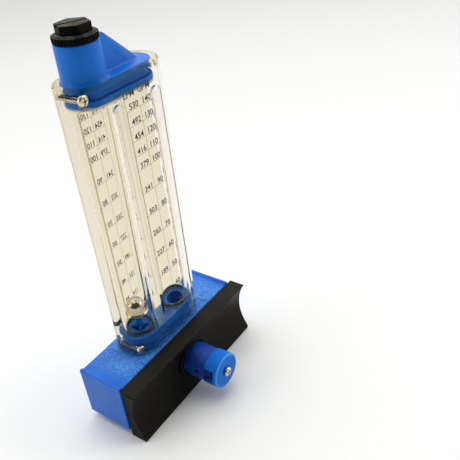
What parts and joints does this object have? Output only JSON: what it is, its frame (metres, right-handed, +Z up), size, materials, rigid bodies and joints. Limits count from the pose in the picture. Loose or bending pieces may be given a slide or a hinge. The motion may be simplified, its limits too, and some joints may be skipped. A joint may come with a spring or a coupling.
{
  "type": "pitot tube flow meter",
  "caption": "Saddle-mounted pitot-tube flow meter: a clear float tube on a base block with a rubber pipe saddle, a turnable pitot tip, a towered cap and a screw-in vent plug.",
  "frame": {"origin": "the foot of the part, in the middle of its box, on the level of the saddle gasket's lower edge", "axes": "+Z up along the meter body, X along the pipe, -Y towards the pipe, along the pitot tube"},
  "size_m": [0.103, 0.0606, 0.21],
  "materials": {
    "blue_plastic": "moulded blue plastic, satin, speckled on the block",
    "tube_plastic": "blue plastic tube with turning marks",
    "tip_plastic": "lighter blue moulded cap",
    "saddle_rubber": "matt black rubber with dust specks",
    "seal_rubber": "black seal rubber",
    "clear_rubber": "translucent silicone seal",
    "pale_rubber": "grey seal",
    "clear_acrylic": "clear polished acrylic with a printed black scale",
    "stainless_steel": "warm bright steel screws",
    "float_steel": "polished steel float",
    "black_plastic": "black plastic, worn and speckled on top"
  },
  "bodies": {
    "meter": {"base_block": "blue_plastic", "saddle_gasket": "saddle_rubber", "pitot_tube": "tube_plastic", "pitot_tip_screw": "stainless_steel", "pitot_tip_seal": "seal_rubber", "pitot_seal_inner": "seal_rubber", "pitot_seal_outer": "seal_rubber", "meter_body": "clear_acrylic", "top_cap": "blue_plastic", "cap_seal": "clear_rubber", "bore_seal_left": "seal_rubber", "bore_seal_right": "seal_rubber", "cap_screw_front": "stainless_steel", "cap_screw_back": "stainless_steel", "base_screw_front": "stainless_steel", "base_screw_back": "stainless_steel", "float_stop_bottom": "blue_plastic", "float_stop_top": "blue_plastic"},
    "float_bell": {"float": "float_steel"},
    "tip": {"pitot_tip": "tip_plastic"},
    "plug_carrier": {"vent_plug_seal": "pale_rubber"},
    "plug": {"vent_plug": "black_plastic"}
  },
  "joints": [
    {"name": "float_slide", "type": "slide", "parent": "meter", "child": "float_bell", "axis": [0, 0, 1], "range_m": [0, 0.114]},
    {"name": "tip_turn", "type": "hinge", "parent": "meter", "child": "tip", "pos_m": [0.0002, -0.0238, 0.0174], "axis": [0, 1, 0], "range_deg": [0, 180]},
    {"name": "vent_plug_lift", "type": "slide", "parent": "meter", "child": "plug_carrier", "axis": [0, 0, 1], "range_m": [0, 0.0092]},
    {"name": "vent_plug_turn", "type": "hinge", "parent": "plug_carrier", "child": "plug", "pos_m": [-0.0147, 0.0162, 0.2029], "axis": [0, 0, 1], "range_deg": [0, 2160]}
  ],
  "couplings": [
    {"joint": "vent_plug_lift", "follows": "vent_plug_turn", "m_per_rad": 0.00023873}
  ]
}
